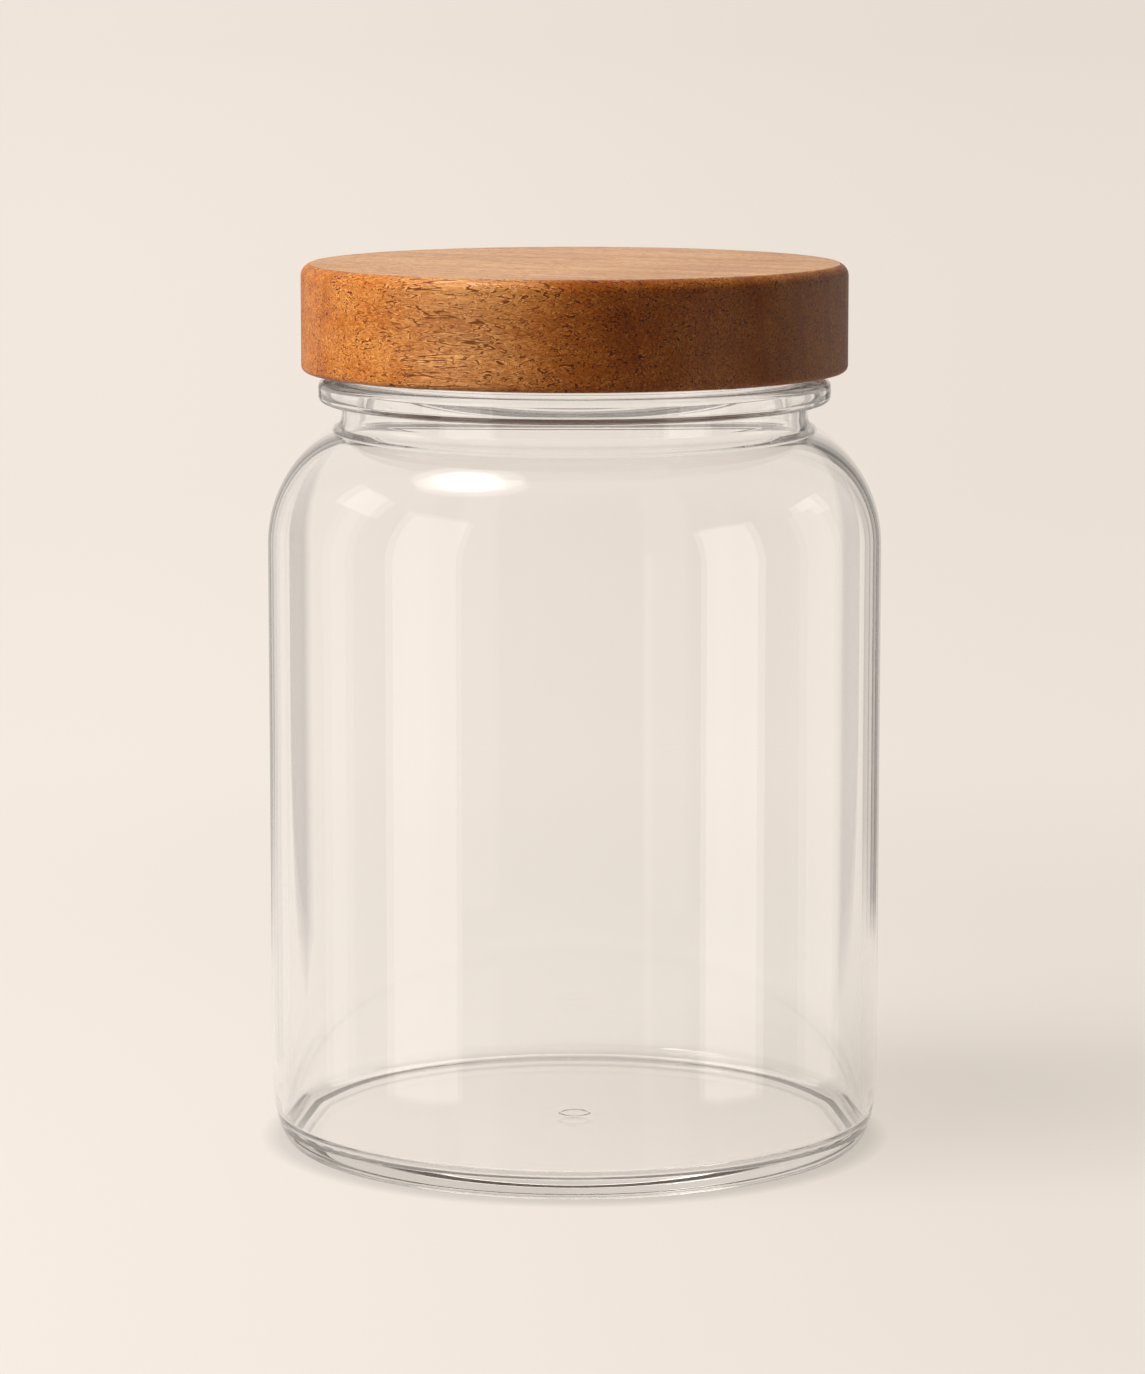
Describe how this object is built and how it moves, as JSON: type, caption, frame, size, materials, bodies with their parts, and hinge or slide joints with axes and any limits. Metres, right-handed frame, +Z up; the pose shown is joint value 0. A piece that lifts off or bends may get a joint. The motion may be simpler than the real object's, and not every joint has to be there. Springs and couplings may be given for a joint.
{
  "type": "pantry jar",
  "caption": "Round clear glass storage jar with a rounded shoulder, a beaded threaded neck and a flat wooden lid that screws on over a sealing ring.",
  "frame": {"origin": "centre of the foot ring, on the surface that the jar stands on", "axes": "+Z up along the jar's axis, through the lid; X and Y are free, because the jar is round"},
  "size_m": [0.12, 0.12, 0.1728],
  "materials": {
    "glass": "clear, fire-polished",
    "wood": "sanded and oiled, satin",
    "liner_plastic": "brown moulded polypropylene, satin",
    "adhesive": "set adhesive film",
    "silicone": "translucent white silicone"
  },
  "bodies": {
    "jar": {"glass_jar": "glass"},
    "seal": {"sealing_gasket": "silicone"},
    "lid": {"wood_lid": "wood", "threaded_liner": "liner_plastic", "bonding_disc": "adhesive"}
  },
  "joints": [
    {"name": "lid_rise", "type": "slide", "parent": "jar", "child": "seal", "axis": [0, 0, 1], "range_m": [0, 0.0151]},
    {"name": "lid_turn", "type": "hinge", "parent": "seal", "child": "lid", "pos_m": [0, 0, 0.16], "axis": [0, 0, 1], "range_deg": [0, 1080]}
  ],
  "couplings": [
    {"joint": "lid_rise", "follows": "lid_turn", "m_per_rad": 0.00079577}
  ]
}
